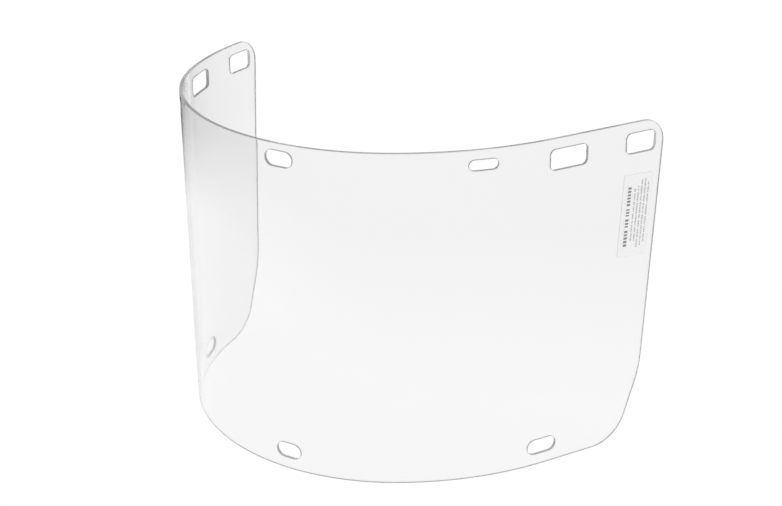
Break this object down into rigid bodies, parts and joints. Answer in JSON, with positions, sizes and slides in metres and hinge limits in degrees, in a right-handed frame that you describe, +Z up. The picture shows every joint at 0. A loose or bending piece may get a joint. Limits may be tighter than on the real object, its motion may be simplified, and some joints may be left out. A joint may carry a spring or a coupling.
{
  "type": "face shield window",
  "caption": "Clear curved face shield window with round-ended and square-cornered slots for a headgear and a chin guard, and a small clear marking label.",
  "frame": {"origin": "middle of the bottom edge, under the middle slots, in the middle of the sheet's thickness", "axes": "front of the window faces -Y, +X is to the right in a front view, +Z is up"},
  "size_m": [0.2908, 0.1574, 0.203],
  "materials": {
    "clear_sheet": "clear, polished",
    "label_film": "clear film with grey print"
  },
  "bodies": {
    "root": {"window": "clear_sheet", "marking_label": "label_film"}
  },
  "joints": []
}
